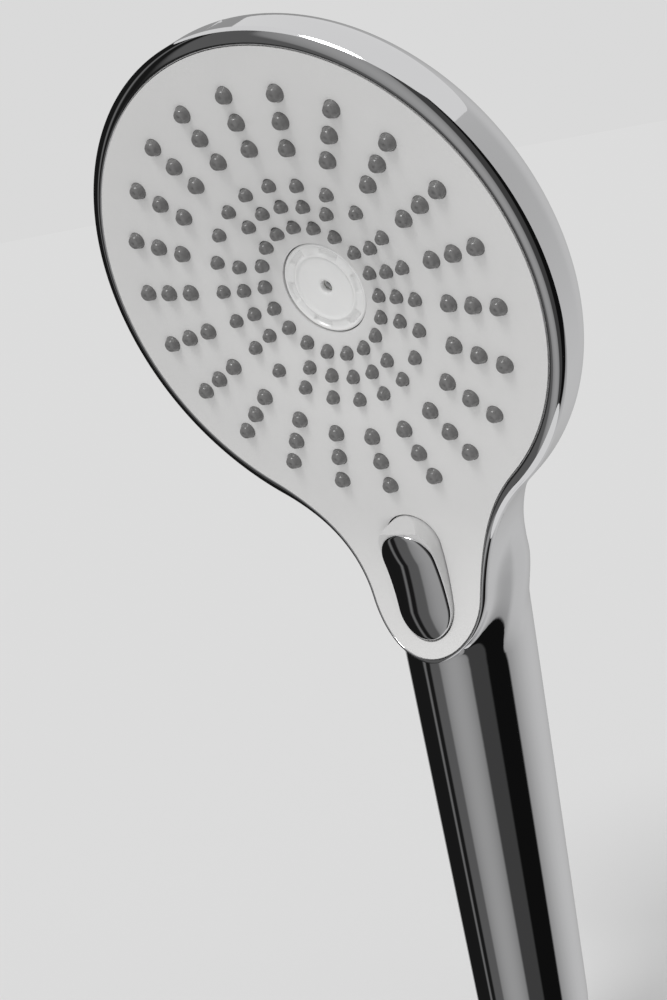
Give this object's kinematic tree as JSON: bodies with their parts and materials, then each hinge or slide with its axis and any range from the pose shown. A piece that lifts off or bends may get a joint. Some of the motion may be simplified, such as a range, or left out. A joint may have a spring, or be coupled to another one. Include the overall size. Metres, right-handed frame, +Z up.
{
  "type": "handheld shower head",
  "caption": "Handheld shower head: round tilted spray face with soft nozzles, tipping spray selector in the neck, tapered chrome handle and a threaded hose inlet.",
  "frame": {"origin": "on the handle axis at the open end of the inlet thread", "axes": "+Z up the handle, -Y is the side the spray face looks to, X across; the face leans 18.5 degrees down from vertical"},
  "size_m": [0.13, 0.0741, 0.2871],
  "materials": {
    "chrome": "bright chrome plating on plastic",
    "white_plate": "satin white moulded plastic",
    "clear_disc": "whitish translucent plastic",
    "button_white": "satin pale grey plastic",
    "grey_silicone": "soft grey silicone",
    "engine_plastic": "natural moulded plastic",
    "housing_plastic": "black moulded plastic",
    "acetal": "white acetal",
    "steel": "stainless steel",
    "seal_rubber": "black rubber",
    "plated_brass": "chrome plated brass",
    "limiter_plastic": "blue plastic",
    "strainer_plastic": "white plastic mesh"
  },
  "bodies": {
    "shower_body": {"casing": "chrome", "front_bezel": "chrome", "face_plate": "white_plate", "centre_disc": "clear_disc", "outer_nozzle_mat": "grey_silicone", "inner_nozzle_mat": "grey_silicone", "nozzle_chamber": "engine_plastic", "manifold_plate": "engine_plastic", "massage_cage": "engine_plastic", "selector_housing": "housing_plastic", "button_bracket": "housing_plastic", "water_tube": "housing_plastic", "turbine_axle": "steel", "hinge_pin": "steel", "button_spring": "steel", "engine_screws": "steel", "chamber_seal": "seal_rubber", "housing_gasket": "seal_rubber", "port_seals": "seal_rubber", "plunger_seal": "seal_rubber", "tube_seals": "seal_rubber", "inlet_seal": "seal_rubber", "inlet_connector": "plated_brass", "flow_limiter": "limiter_plastic", "inlet_strainer": "strainer_plastic"},
    "button": {"button_body": "button_white", "button_cap": "chrome"},
    "plunger": {"drive_plunger": "acetal"},
    "rotor": {"selector_rotor": "acetal", "rotor_shaft": "steel", "ratchet_wheel": "acetal"},
    "turbine": {"massage_turbine": "acetal"}
  },
  "joints": [
    {"name": "button_tip", "type": "hinge", "parent": "shower_body", "child": "button", "pos_m": [0, -0.01006, 0.13785], "axis": [-1, 0, 0], "range_deg": [0, 8], "stiffness_Nm_per_rad": 0.25, "springref_deg": -5.73, "deforming": ["button_spring"]},
    {"name": "plunger_slide", "type": "slide", "parent": "shower_body", "child": "plunger", "axis": [0, 0.9483, 0.3173], "range_m": [0, 0.00294]},
    {"name": "selector_turn", "type": "hinge", "parent": "shower_body", "child": "rotor", "pos_m": [0, -0.0003, 0.16853], "axis": [0, -0.3173, 0.9483], "continuous": true},
    {"name": "turbine_spin", "type": "hinge", "parent": "shower_body", "child": "turbine", "pos_m": [0, -0.02642, 0.22517], "axis": [0, -0.9483, -0.3173], "continuous": true}
  ],
  "couplings": [
    {"joint": "plunger_slide", "follows": "button_tip", "m_per_rad": 0.021}
  ]
}
